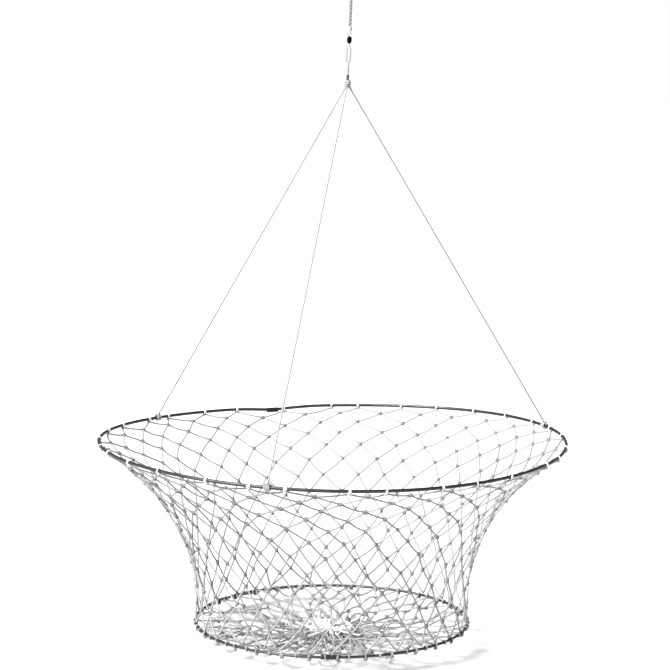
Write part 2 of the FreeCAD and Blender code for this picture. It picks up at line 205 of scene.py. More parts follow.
class MetalSettings(bpy.types.PropertyGroup):
    """The hoops and the fittings"""

    hoop_colour: colour("Hoop wire", "Oxidised spring steel", "#4c4c4f")
    sleeve_colour: colour("Hoop sleeves", "Crimped steel", "#3a3a3c")
    crimp_colour: colour("Bridle crimp", "Squeezed aluminium, darkened", "#5e5e60")
    link_colour: colour("Link and eyes", "Nickel-plated wire", "#dcdcdb")
    barrel_colour: colour("Swivel barrel", "Black-nickel plated brass", "#101011")


class StageSettings(bpy.types.PropertyGroup):
    """The floor and the camera"""

    distance: length("Camera distance", "From the upper hoop's middle", 2.8)
    elevation: angle_of("Camera elevation", "Above the hoop's middle", 10.45)
    floor_colour: colour("Floor", "Pale matt floor", "#dedede")


class TrapSettings(bpy.types.PropertyGroup):
    """All the trap's settings"""

    netting: bpy.props.PointerProperty(type=NettingSettings)
    cords: bpy.props.PointerProperty(type=CordSettings)
    metal: bpy.props.PointerProperty(type=MetalSettings)
    stage: bpy.props.PointerProperty(type=StageSettings)


# Places on the basket


def polar(radius, angle, z):
    """The point at an angle in degrees round the Z axis."""
    return Vector((radius * math.cos(math.radians(angle)), radius * math.sin(math.radians(angle)), z))


def warp(angle):
    """How far the upper hoop stands over its own mean plane."""
    off_joint = (angle - JOINT_ANGLE + 180) % 360 - 180
    dip = JOINT_DIP * math.exp(-((off_joint / DIP_SPREAD) ** 2))
    return HOOP_WARP * math.cos(math.radians(2 * (angle - WARP_HIGH))) - dip


def profile(share):
    """The side netting's radius a share of the way down from the upper hoop."""
    waist = BASE_RADIUS - WAIST_TUCK
    flare = (HOOP_RADIUS - waist) * (1 - share) ** FLARE_POWER
    return waist + flare + WAIST_TUCK * share**WAIST_POWER


def upper_wire(angle):
    """The upper hoop's centreline at an angle, level."""
    return polar(HOOP_RADIUS, angle, warp(angle))


def lower_wire(angle):
    """The lower hoop's centreline at an angle, level."""
    return polar(BASE_RADIUS, angle, -BASKET_DEPTH)


def run_of(wire, angle):
    """A wire's direction at an angle."""
    return (wire(angle + 0.5) - wire(angle - 0.5)).normalized()


# Strands: round cords and twines laid along lines, gathered into one mesh


class Strands:
    """Points, faces and UVs of the strands of one piece. U goes round a strand, and V is metres along it.

    The stamped knots' points are marked for painted shade, which the material shows darker.
    """

    def __init__(self):
        self.points, self.faces, self.uvs, self.knot_shaded = [], [], [], []

    def lay(self, line, radius, sides=6):
        """Lays a round strand along a line of points, and closes its two ends."""
        along = (line[1] - line[0]).normalized()
        out = along.orthogonal().normalized()
        first, far = len(self.points), 0.0
        rings = []
        for i, point in enumerate(line):
            before, after = line[max(i - 1, 0)], line[min(i + 1, len(line) - 1)]
            along = (after - before).normalized()
            out = (out - along * out.dot(along)).normalized()
            side = along.cross(out)
            if i:
                far += (point - line[i - 1]).length
            rings.append(far)
            for j in range(sides):
                turn = 2 * math.pi * j / sides
                self.points.append(point + (out * math.cos(turn) + side * math.sin(turn)) * radius)
        for i in range(len(line) - 1):
            for j in range(sides):
                a, b = first + i * sides + j, first + i * sides + (j + 1) % sides
                self.faces.append((a, b, b + sides, a + sides))
                low, high = j / sides, (j + 1) / sides
                self.uvs += [(low, rings[i]), (high, rings[i]), (high, rings[i + 1]), (low, rings[i + 1])]
        for i, way in ((0, -1), (len(line) - 1, 1)):
            ring = [first + i * sides + j for j in range(sides)][::way]
            self.faces.append(tuple(ring))
            self.uvs += [(0.5, rings[i])] * sides

    def rope(self, line, diameter, turn_length, sides):
        """Lays three twisted strands along a line, so that together they have the rope's diameter."""
        for strand in range(3):
            turn = 2 * math.pi * strand / 3
            wound = spiralled(line, STRAND_OFFSET * diameter, turn_length, turn)
            self.lay(wound, STRAND_RADIUS * diameter, sides)

    def stamp(self, shape, place):
        """Adds a copy of a small modelled shape."""
        first = len(self.points)
        self.points += [place @ point for point in shape.points]
        self.faces += [tuple(first + i for i in face) for face in shape.faces]
        self.uvs += shape.uvs
        # a stamped knot's points get the painted shade mark
        self.knot_shaded += range(first, len(self.points))

    def piece(self, name, material, slot):
        """Makes the object, smooth and with its UV map."""
        mesh = bpy.data.meshes.new(name)
        mesh.from_pydata(self.points, [], self.faces)
        layer = mesh.uv_layers.new(name="UVMap")
        layer.data.foreach_set("uv", [value for uv in self.uvs for value in uv])
        # painted shade: the knots' points are marked so that the material darkens them
        painted_knot_shade = mesh.attributes.new("painted_knot_shade", "FLOAT", "POINT")
        for i in self.knot_shaded:
            painted_knot_shade.data[i].value = 1.0
        mesh.shade_smooth()
        mesh.materials.append(material)
        obj = bpy.data.objects.new(name, mesh)
        bpy.context.scene.collection.objects.link(obj)
        return obj


def spiralled(line, offset, turn_length, start):
    """A line that winds round another, offset from it."""
    out = (line[1] - line[0]).normalized().orthogonal().normalized()
    wound, far = [], 0.0
    for i, point in enumerate(line):
        before, after = line[max(i - 1, 0)], line[min(i + 1, len(line) - 1)]
        along = (after - before).normalized()
        out = (out - along * out.dot(along)).normalized()
        if i:
            far += (point - line[i - 1]).length
        turn = start + 2 * math.pi * far / turn_length
        wound.append(point + (out * math.cos(turn) + along.cross(out) * math.sin(turn)) * offset)
    return wound


def helix(centre, along, radius, rise, turns, steps=14, start=0.0):
    """Points that wind round an axis, rising by this much a turn, about a centre."""
    along = along.normalized()
    out = (Vector((0, 0, 1)) - along * along.z) if abs(along.z) < 0.9 else Vector((1, 0, 0))
    out = (out - along * out.dot(along)).normalized()
    side = along.cross(out)
    count = max(2, round(turns * steps))
    points = []
    for i in range(count + 1):
        turn = start + 2 * math.pi * turns * i / count
        rising = rise * turns * (i / count - 0.5)
        points.append(centre + along * rising + (out * math.cos(turn) + side * math.sin(turn)) * radius)
    return points


def spaced(line, step):
    """A line's points again, evenly spaced about a step apart."""
    total = sum((b - a).length for a, b in zip(line, line[1:]))
    count = max(2, round(total / step))
    points, want, far = [line[0].copy()], total / count, 0.0
    for a, b in zip(line, line[1:]):
        run = (b - a).length
        while run > 0 and far + run >= want * len(points) - 1e-9 and len(points) < count:
            points.append(a.lerp(b, (want * len(points) - far) / run))
        far += run
    return points + [line[-1].copy()]


def smooth_line(route):
    """The smooth line of a cord's route: a NURBS spline with the route's points."""
    curve = bpy.data.curves.new("route", "CURVE")
    curve.dimensions = "3D"
    curve.resolution_u = 16
    spline = curve.splines.new("NURBS")
    spline.points.add(len(route) - 1)
    for point, place in zip(spline.points, route):
        point.co = (*place, 1.0)
    spline.order_u = 3
    spline.use_endpoint_u = True
    holder = bpy.data.objects.new("route", curve)
    bpy.context.scene.collection.objects.link(holder)
    mesh = bpy.data.meshes.new_from_object(holder)
    line = [vertex.co.copy() for vertex in mesh.vertices]
    bpy.data.objects.remove(holder)
    bpy.data.curves.remove(curve)
    bpy.data.meshes.remove(mesh)
    return line


def basis(along, out, centre, scale=1.0):
    """A placing matrix whose Z is along and whose X is out."""
    along = along.normalized()
    out = (out - along * out.dot(along)).normalized()
    side = along.cross(out)
    turn = Matrix((out, side, along)).transposed().to_4x4()
    return Matrix.Translation(centre) @ turn @ Matrix.Scale(scale, 4)


def narrow_loop(half, bend, ends):
    """A narrow loop of cord in the YZ plane: from one end round a half circle to the other."""
    up = 1 if bend > ends else -1
    shoulder = bend - up * half
    arc = [math.pi * step / ARC_STEPS for step in range(ARC_STEPS + 1)]
    turn = [Vector((0, half * math.cos(t), shoulder + up * half * math.sin(t))) for t in arc]
    return [Vector((0, half, ends)), *turn, Vector((0, -half, ends))]


def drawn_knot():
    """A knot drawn tight, of unit size: a round primitive with the turns of its twine raised on it."""
    ridge, run = 0.17, 0.004    # how far the turns stand out, and the metres of twine from end to end
    bpy.ops.object.select_all(action="DESELECT")
    bpy.ops.mesh.primitive_uv_sphere_add(segments=8, ring_count=6, radius=0.5)
    knot = bpy.context.object
    for vertex in knot.data.vertices:
        way = vertex.co.normalized()
        turn = math.atan2(way.y, way.x)
        vertex.co *= 1 + ridge * math.cos(2 * turn + 5 * way.z)
    shape = Strands()
    shape.points = [vertex.co.copy() for vertex in knot.data.vertices]
    for face in knot.data.polygons:
        shape.faces.append(tuple(face.vertices))
        for i in face.vertices:
            point = shape.points[i]
            shape.uvs.append((math.atan2(point.y, point.x) / (2 * math.pi), run * point.z))
    bpy.data.objects.remove(knot)
    return shape


# Materials


def add(tree, kind, inputs=None, **settings):
    """Adds a node with its settings, and sets or links its inputs."""
    node = tree.nodes.new("ShaderNode" + kind)
    for name, value in settings.items():
        setattr(node, name, value)
    for name, value in (inputs or {}).items():
        if isinstance(value, bpy.types.NodeSocket):
            tree.links.new(value, node.inputs[name])
        else:
            node.inputs[name].default_value = value
    return node


def material(name, **sockets):
    """A new material with its shader's constant values. Returns the tree and the shader too."""
    made = bpy.data.materials.new(name)
    made.use_nodes = True
    shader = made.node_tree.nodes["Principled BSDF"]
    for key, value in sockets.items():
        shader.inputs[key.replace("_", " ")].default_value = value
    return made, made.node_tree, shader


def mottled(tree, shader, colour, dark, size, detail=4.0):
    """Base colour that wanders between a colour and a darker one, over patches of a size in metres."""
    place = add(tree, "TexCoord").outputs["Object"]
    noise = add(tree, "TexNoise", {"Vector": place, "Scale": 1 / size, "Detail": detail, "Roughness": 0.6})
    ramp = add(tree, "MapRange", {"Value": noise.outputs["Fac"], "From Min": 0.3, "From Max": 0.7})
    shade = [channel * dark for channel in colour[:3]] + [1.0]
    # a Mix node's two colours are its inputs 6 and 7, and the mixed colour is its output 2
    mix = add(tree, "Mix", data_type="RGBA", inputs={"Factor": ramp.outputs["Result"], 6: shade, 7: colour})
    tree.links.new(mix.outputs[2], shader.inputs["Base Color"])
    return noise


def mottled_with_knot_shade(tree, shader, colour, dark, size, on_knots=0.6):
    """Mottled base colour that is darker still on knots: painted shade, for the shade in the knots' tight
    turns.
    """
    mottled(tree, shader, colour, dark, size)
    unshaded = shader.inputs["Base Color"].links[0].from_socket
    # painted shade: the marked knot points keep only a share of the colour
    painted_knot_shade = add(tree, "Attribute", attribute_name="painted_knot_shade").outputs["Fac"]
    kept = add(tree, "MapRange", {"Value": painted_knot_shade, "To Min": 1.0, "To Max": on_knots})
    darker = add(tree, "VectorMath", {0: unshaded, "Scale": kept.outputs["Result"]}, operation="SCALE")
    tree.links.new(darker.outputs[0], shader.inputs["Base Color"])


def raised(tree, shader, height, distance):
    """Bump on a shader, with the height in metres that the pattern stands up."""
    bump = add(tree, "Bump", {"Height": height, "Distance": distance, "Strength": 1.0})
    tree.links.new(bump.outputs["Normal"], shader.inputs["Normal"])


def plies(tree, count, turn_length, sense=1):
    """The rounded ridges of a strand's plies, 0 in the grooves and 1 on top, from its UV map."""
    uv = add(tree, "UVMap", uv_map="UVMap").outputs["UV"]
    split = add(tree, "SeparateXYZ", {"Vector": uv})
    round_it = add(tree, "Math", {0: split.outputs["X"], 1: math.pi * count}, operation="MULTIPLY")
    slope = sense * math.pi * count / turn_length
    terms = {0: split.outputs["Y"], 1: slope, 2: round_it.outputs[0]}
    both = add(tree, "Math", terms, operation="MULTIPLY_ADD")
    wave = add(tree, "Math", {0: both.outputs[0]}, operation="SINE")
    return add(tree, "Math", {0: wave.outputs[0]}, operation="ABSOLUTE").outputs[0]


def twisted_nylon_twine(name, colour, turn_length=0.007):
    """Three-ply twisted nylon: a soft, slightly shiny fibre whose plies catch the light as slanting ridges.

    It is dirtied unevenly along the net from use, and its knots are darkened with painted shade. The real lay
    is about 5 mm; it is drawn at 7 mm to show.
    """
    made, tree, shader = material(name, Roughness=0.55, Sheen_Weight=0.15, Specular_IOR_Level=0.45)
    mottled_with_knot_shade(tree, shader, colour, dark=0.72, size=0.06)
    raised(tree, shader, plies(tree, 3, turn_length), 0.0003)
    return made


def braided_nylon_cord(name, colour, carriers=8, turn_length=0.009):
    """Braided nylon: two sets of carriers cross, which gives small diamonds all along the cord."""
    made, tree, shader = material(name, Roughness=0.5, Sheen_Weight=0.2, Specular_IOR_Level=0.5)
    mottled(tree, shader, colour, dark=0.86, size=0.05)
    over, under = plies(tree, carriers, turn_length), plies(tree, carriers, turn_length, -1)
    braid = add(tree, "Math", {0: over, 1: under}, operation="MAXIMUM")
    raised(tree, shader, braid.outputs[0], 0.0003)
    return made


def spring_steel_wire(name, colour):
    """Drawn spring steel: a dull grey skin of oxide, with fine die lines along the wire and darker spots.

    The die lines are drawn 0.6 mm apart; real ones are finer.
    """
    made, tree, shader = material(name, Metallic=0.85, Roughness=0.42)
    mottled(tree, shader, colour, dark=0.5, size=0.03)
    place = add(tree, "TexCoord").outputs["Object"]
    split = add(tree, "SeparateXYZ", {"Vector": place})
    flat = add(tree, "CombineXYZ", {"X": split.outputs["X"], "Y": split.outputs["Y"]})
    far = add(tree, "VectorMath", {0: flat.outputs[0]}, operation="LENGTH")
    across = add(tree, "CombineXYZ", {"X": far.outputs["Value"], "Y": split.outputs["Z"]})
    lines = add(tree, "TexNoise", {"Vector": across.outputs[0], "Scale": 1600.0, "Detail": 2.0})
    raised(tree, shader, lines.outputs["Fac"], 0.00008)
    return made


def crimped_ferrule(name, colour, metallic, roughness):
    """Soft metal squeezed in a crimping tool: satin, with faint dents about 2 mm across."""
    made, tree, shader = material(name, Metallic=metallic, Roughness=roughness)
    noise = mottled(tree, shader, colour, dark=0.6, size=0.004)
    raised(tree, shader, noise.outputs["Fac"], 0.0002)
    return made


def plated_metal(name, colour, roughness):
    """Bright or black plating on drawn wire and turned brass: nearly mirror-smooth, a little uneven."""
    made, tree, shader = material(name, Metallic=1.0, Roughness=roughness)
    noise = mottled(tree, shader, colour, dark=0.8, size=0.006)
    raised(tree, shader, noise.outputs["Fac"], 0.00005)
    return made


def painted_floor(name, colour):
    """Matt emulsion on board: pale and even, with a roller's soft stipple 3 mm across."""
    made, tree, shader = material(name, Roughness=0.95, Specular_IOR_Level=0.1)
    mottled(tree, shader, colour, dark=0.985, size=0.4, detail=2.0)
    stipple = add(tree, "TexNoise", {"Scale": 330.0, "Vector": add(tree, "TexCoord").outputs["Object"]})
    raised(tree, shader, stipple.outputs["Fac"], 0.0001)
    return made


def finish_of(node, made):
    """Gives a CAD node its material."""
    obj = frame["nodes"][node]
    obj.data.materials.clear()
    obj.data.materials.append(made)


def net_twine():
    """The dirtied grey twine of the netting and the lower hoop's lashing, with painted shade on its knots."""
    name, settings = "twisted nylon twine", bpy.context.scene.crab_trap.netting
    return bpy.data.materials.get(name) or twisted_nylon_twine(name, settings.colour)


def painted_highlight_twine():
    """The netting's and lashing's twine coloured whiter for the upper hoop's ties and the meshes bunched on
    the draw cord: a painted highlight.
    """
    name, cords = "twisted twine, painted highlight", bpy.context.scene.crab_trap.cords
    return bpy.data.materials.get(name) or twisted_nylon_twine(name, cords.draw_cord_and_highlight_colour)


# Netting


def row_shares(rows, meshes):
    """How far down the basket each row of knots lies when every bar has one length."""
    bar, shares = bpy.context.scene.crab_trap.netting.bar, [0.0]
    least_drop, step = 0.3 * bar, 0.01
    for _ in range(rows):
        share = shares[-1]
        for _ in range(3):
            middle = (shares[-1] + share) / 2
            half = math.pi * profile(middle) / meshes
            steepness = (profile(middle - step) - profile(middle + step)) / (2 * step)
            slope = math.hypot(BASKET_DEPTH, steepness)
            share = shares[-1] + math.sqrt(max(bar**2 - half**2, least_drop**2)) / slope
        shares.append(share)
    return [share / shares[-1] for share in shares]


def wandering(rng, rows, meshes, held):
    """Random offsets for each knot, smoothed over its neighbours. The first row has the held ones."""
    own_share = 0.55
    field = [list(held)] + [[rng.uniform(-1, 1) for _ in range(meshes)] for _ in range(rows)]
    for _ in range(2):
        for row in range(1, rows):
            above, below = field[row - 1], field[row + 1]
            near = [(above[p] + above[(p + 1) % meshes] + below[p] + below[p - 1]) / 4 for p in range(meshes)]
            field[row] = [(1 - own_share) * n + own_share * own for n, own in zip(near, field[row])]
    return field


def lashing_angles(rng):
    """Where the netting is tied to the upper hoop, in degrees: a mesh apart, but done by hand."""
    settings = bpy.context.scene.crab_trap.netting
    pitch = 360 / settings.meshes
    return [
        LEG_START + pitch * (place + 0.5) + rng.uniform(-TIE_STRAY, TIE_STRAY) * pitch
        for place in range(settings.meshes)
    ]


def side_knots(rng, ties):
    """The side netting's knots, level, as rows of points. The first row hangs on the upper hoop's ties."""
    settings = bpy.context.scene.crab_trap.netting
    meshes, rows, stray = settings.meshes, settings.rows, settings.unevenness
    pitch = 360 / meshes
    most_turn, most_bulge = pitch / 3, 0.7 * stray
    shares = row_shares(rows, meshes)
    shifts = [(ties[p] - LEG_START - pitch * (p + 0.5)) / most_turn for p in range(meshes)]
    turns = wandering(rng, rows, meshes, shifts)
    drops = wandering(rng, rows, meshes, [0.0] * meshes)
    bulges = wandering(rng, rows, meshes, [0.0] * meshes)
    hang = (HOOP_WIRE + settings.twine) / 2
    knots = []
    for row, share in enumerate(shares):
        line = []
        for place in range(meshes):
            radius = profile(share) + most_bulge * bulges[row][place]
            angle = LEG_START + pitch * (place + 0.5 + row / 2) + most_turn * turns[row][place]
            if row == 0:
                angle = ties[place]
            drop = BASKET_DEPTH * share - stray * drops[row][place]
            if row == rows:
                drop, radius = BASKET_DEPTH, BASE_RADIUS
            drop += hang * (1 - 2 * share) if row in (0, rows) else 0.0
            line.append(polar(radius, angle, warp(angle) * (1 - share) - drop))
        knots.append(line)
    return knots


def bar_line(rng, start, end, out, slack, loose):
    """A bar between two knots: bowed a little out and down, or, where it is loose, any way."""
    steps = 4
    bow = out * rng.uniform(-0.6, 1.0) * slack + Vector((0, 0, -1)) * rng.uniform(0.0, 1.0) * slack
    if loose:
        bow = Vector([rng.gauss(0, 1) for _ in range(3)]) * slack
    return [start.lerp(end, i / steps) + bow * math.sin(math.pi * i / steps) for i in range(steps + 1)]


def knitted(strands, rng, knots, knot_shape, slack, loose=False):
    """Lays the bars between rows of knots and stamps the knots that aren't on a hoop or a cord."""
    settings = bpy.context.scene.crab_trap.netting
    meshes, radius = settings.meshes, settings.twine / 2
    for row in range(len(knots) - 1):
        for place in range(meshes):
            start = knots[row][place]
            for end in (knots[row + 1][place], knots[row + 1][place - 1]):
                out = Vector((start.x + end.x, start.y + end.y, 0)).normalized()
                line = [HANG @ point for point in bar_line(rng, start, end, out, slack, loose)]
                strands.lay(line, radius)
    for row in range(1, len(knots) - 1):
        for place in range(meshes):
            centre = knots[row][place]
            out = Vector((centre.x, centre.y, 0))
            tip = Vector((rng.uniform(-0.3, 0.3), rng.uniform(-0.3, 0.3), 1))
            size = settings.knot * rng.uniform(0.9, 1.12)
            strands.stamp(knot_shape, HANG @ basis(tip, out, centre, size))


class CRABTRAP_OT_side_netting(bpy.types.Operator):
    """Knots the flared side netting between the two hoops"""

    bl_idname = "crabtrap.side_netting"
    bl_label = "Side netting"

    def execute(self, context):
        settings = context.scene.crab_trap.netting
        rng = random.Random(11)
        knots = side_knots(rng, lashing_angles(random.Random(5)))
        strands = Strands()
        knitted(strands, rng, knots, drawn_knot(), settings.slack)
        piece = strands.piece("knotted_side_netting", net_twine(), "net_twine")
        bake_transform(piece)
        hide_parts("side_netting")
        return {"FINISHED"}


def bottom_knots(rng):
    """The bottom netting's knots, level, from the lower hoop to the draw cord.

    Between the two the netting is slack: its knots stray round, in and out, and it lies in shallow folds.
    """
    settings = bpy.context.scene.crab_trap.netting
    meshes, rows = settings.meshes, settings.bottom_rows
    pitch = 360 / meshes
    outer = BASE_RADIUS - BASE_WIRE / 2
    most_reach, most_turn = 0.011, 0.8 * pitch
    turns = wandering(rng, rows, meshes, [0.0] * meshes)
    lifts = wandering(rng, rows, meshes, [0.0] * meshes)
    reaches = wandering(rng, rows, meshes, [0.0] * meshes)
    knots = []
    for row in range(rows + 1):
        share = row / rows
        line = []
        for place in range(meshes):
            angle = LEG_START + pitch * (place + 0.5 + (settings.rows + row) / 2)
            slack = math.sin(math.pi * min(1.0, 1.15 * share))
            radius = outer + (GATHER_RADIUS - outer) * share + most_reach * slack * reaches[row][place]
            fold = math.sin(math.radians(9 * angle + 40)) + 0.6 * math.sin(math.radians(14 * angle))
            lift = settings.crumple * slack * (0.75 * lifts[row][place] + 0.4 * fold)
            sag = BOTTOM_SAG * (1 - (1 - share) ** BELLY_POWER)
            angle += most_turn * slack * turns[row][place]
            line.append(polar(radius, angle, -BASKET_DEPTH - sag + lift))
        knots.append(line)
    return knots


class CRABTRAP_OT_bottom_netting(bpy.types.Operator):
    """Knots the slack netting that closes the bottom, and the bunch of meshes on the draw cord"""

    bl_idname = "crabtrap.bottom_netting"
    bl_label = "Bottom netting"

    def execute(self, context):
        settings = context.scene.crab_trap.netting
        rng = random.Random(23)
        knots = bottom_knots(rng)
        strands = Strands()
        looser = 2.2        # than the side netting's bars
        knitted(strands, rng, knots, drawn_knot(), settings.slack * looser, loose=True)
        piece = strands.piece("knotted_bottom_netting", net_twine(), "net_twine")
        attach(piece, "base")
        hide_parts("bottom_netting")
        self.bunch(settings, rng)
        return {"FINISHED"}

    def bunch(self, settings, rng):
        """Loops of the last meshes, standing up round the draw cord as a small rosette.

        Each rises from the cord, leans over to one side and comes back beside its start.
        """
        strands = Strands()
        low, ring = -BASKET_DEPTH - BOTTOM_SAG, (DRAW_RING + GATHER_RADIUS) / 2
        loops = 2 * settings.meshes
        for place in range(loops):
            angle = 360 * (place + rng.uniform(-0.4, 0.4)) / loops
            reach, height = rng.uniform(0.009, 0.024), rng.uniform(0.006, 0.015)
            lean = rng.uniform(-16, 16)
            route = [
                polar(ring, angle, low + 0.001),
                polar(ring + 0.6 * reach, angle + 0.4 * lean, low + height),
                polar(ring + reach, angle + lean, low + height * rng.uniform(0.2, 0.8)),
                polar(ring + 0.45 * reach, angle + lean + 9, low + 0.45 * height),
                polar(DRAW_RING, angle + 7, low),
            ]
            line = spaced(smooth_line(route), 0.004)
            strands.lay([HANG @ point for point in line], settings.twine / 2)
        # painted highlight: the netting's own twine, coloured whiter here
        piece = strands.piece("gathered_meshes", painted_highlight_twine(), "net_twine")
        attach(piece, "base")
        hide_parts("gathered_netting")


class CRABTRAP_OT_draw_cord(bpy.types.Operator):
    """Ties the draw cord that closes the bottom, in a bow"""

    bl_idname = "crabtrap.draw_cord"
    bl_label = "Draw cord"

    def execute(self, context):
        cords = context.scene.crab_trap.cords
        low = -BASKET_DEPTH - BOTTOM_SAG + 0.001
        radius, step = cords.draw / 2, 0.0015
        bow = Vector((0, -0.011, low + 0.010))
        # the bow's loops and tails, from its middle
        left_loop = [(0, 0, 0), (-0.013, 0.004, 0.006), (-0.030, -0.001, 0.008), (-0.034, -0.009, 0.002),
                     (-0.017, -0.009, 0.000), (0.001, -0.001, 0.001)]
        inner_loop = [(0, 0, 0.001), (-0.010, 0.007, 0.008), (-0.021, 0.008, 0.009), (-0.023, 0.001, 0.006),
                      (-0.011, -0.001, 0.004), (0.001, 0.001, 0.001)]
        right_loop = [(0, 0, 0.001), (0.011, 0.006, 0.003), (0.028, 0.003, 0.001), (0.033, -0.008, -0.003),
                      (0.017, -0.009, -0.003), (-0.001, 0.001, 0.000)]
        second_loop = [(0, 0, 0.001), (0.009, 0.002, 0.008), (0.022, -0.004, 0.009), (0.028, -0.012, 0.003),
                       (0.013, -0.011, 0.001), (-0.001, -0.001, 0.000)]
        left_tail = [(0, 0, 0), (-0.006, -0.008, 0.000), (-0.017, -0.017, -0.004), (-0.030, -0.022, -0.006)]
        right_tail = [(0, 0, 0), (0.007, -0.009, 0.000), (0.020, -0.018, -0.003), (0.038, -0.020, -0.005)]
        strands = Strands()
        ring = [polar(DRAW_RING, 270 + 10 * part, low) for part in range(1, 36)]
        strands.lay([HANG @ point for point in ring], radius, 8)
        for route in (left_loop, inner_loop, right_loop, second_loop, left_tail, right_tail):
            line = spaced(smooth_line([bow + Vector(point) for point in route]), step)
            strands.lay([HANG @ point for point in line], radius, 8)
        for side in (-cords.draw / 2, cords.draw / 2):
            wrap = helix(bow + Vector((side, 0, 0)), Vector((1, 0.3, 0)), 0.0026, 0.0, 1.05)
            strands.lay([HANG @ point for point in wrap], radius, 8)
        down = spaced(smooth_line([bow, bow + Vector((0, 0.001, -0.006)), polar(DRAW_RING, 270, low)]), step)
        strands.lay([HANG @ point for point in down], radius, 8)
        made = braided_nylon_cord("braided white nylon", cords.draw_cord_and_highlight_colour)
        piece = strands.piece("tied_draw_cord", made, "net_twine")
        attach(piece, "base")
        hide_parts("draw_cord")
        return {"FINISHED"}


# Lashings


def lashed(strands, rng, wire, angle, wire_size, twine, turns, knot_shape=None, knot_size=0.0):
    """Turns of twine wound round a wire, with a small knot on the netting's side."""
    skew, gap, under = 0.12, 0.0001, 0.0006
    centre, along = wire(angle), run_of(wire, angle)
    skewed = (along + polar(1, angle, 0) * rng.uniform(-skew, skew)).normalized()
    radius = (wire_size + twine) / 2 + gap
    line = helix(centre, skewed, radius, twine * 1.04, turns, 10, rng.uniform(0, 2 * math.pi))
    strands.lay([HANG @ point for point in line], twine / 2)
    if knot_shape:
        low = centre + Vector((0, 0, -radius - under))
        strands.stamp(knot_shape, HANG @ basis(along, polar(1, angle, 0), low, knot_size))


class CRABTRAP_OT_rim_lashing(bpy.types.Operator):
    """Ties the netting's top meshes to the upper hoop"""

    bl_idname = "crabtrap.rim_lashing"
    bl_label = "Rim lashing"

    def execute(self, context):
        settings = context.scene.crab_trap.netting
        rng, knot_shape = random.Random(31), drawn_knot()
        strands = Strands()
        for angle in lashing_angles(random.Random(5)):
            turns = rng.choice((1.2, 1.6, 2.2, 2.2))
            tie = (upper_wire, angle, HOOP_WIRE, settings.lashing, turns)
            lashed(strands, rng, *tie, knot_shape, settings.knot)
        # painted highlight: the lashing twine, grey on the lower hoop, coloured whiter here
        piece = strands.piece("rim_twine_lashing", painted_highlight_twine(), "net_twine")
        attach(piece, "rim")
        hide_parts("rim_lashing")
        return {"FINISHED"}


class CRABTRAP_OT_base_lashing(bpy.types.Operator):
    """Ties the side and bottom netting to the lower hoop, with a loose bight at its joint"""

    bl_idname = "crabtrap.base_lashing"
    bl_label = "Base lashing"

    def execute(self, context):
        settings = context.scene.crab_trap.netting
        rng, knot_shape = random.Random(41), drawn_knot()
        pitch = 360 / settings.meshes
        strands = Strands()
        for place in range(settings.meshes):
            angle = LEG_START + pitch * (place + 0.5 + settings.rows / 2)
            tie = (lower_wire, angle, BASE_WIRE, settings.lashing, rng.choice((1.2, 1.6, 2.2)))
            lashed(strands, rng, *tie, knot_shape, settings.knot)
            between = angle + pitch * rng.uniform(0.4, 0.6)
            lashed(strands, rng, lower_wire, between, BASE_WIRE, settings.lashing, 1.2)
        angle, last = CLOSE_LASHING
        while angle < last:
            lashed(strands, rng, lower_wire, angle, BASE_WIRE, settings.lashing, rng.choice((1.2, 1.2, 2.0)))
            angle += rng.uniform(1.8, 3.8)
        piece = strands.piece("base_twine_lashing", net_twine(), "net_twine")
        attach(piece, "base")
        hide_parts("base_lashing")
        self.loose_bight(context.scene.crab_trap.cords)
        return {"FINISHED"}

    def loose_bight(self, cords):
        """The bight of lashing that hangs under the lower hoop's joint."""
        gap = 0.0001
        half = math.degrees(BIGHT_WIDTH / 2 / BASE_RADIUS)
        top = -BASKET_DEPTH - BASE_WIRE / 2 - cords.bight / 2 - BASE_SLEEVE_WALL - gap
        stations = ((1.0, 0.0), (0.72, 0.55), (0.1, 0.95), (-0.55, 1.0), (-0.95, 0.6), (-1.05, 0.0))
        route = [
            HANG @ polar(BASE_RADIUS, BASE_JOINT_ANGLE + half * side, top - BIGHT_DROP * down)
            for side, down in stations
        ]
        line = spaced(smooth_line(route), 0.0012)
        strands = Strands()
        strands.lay(line, cords.bight / 2, 8)
        piece = strands.piece("loose_lashing_bight", net_twine(), "net_twine")
        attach(piece, "base")


# Hoops and their sleeves


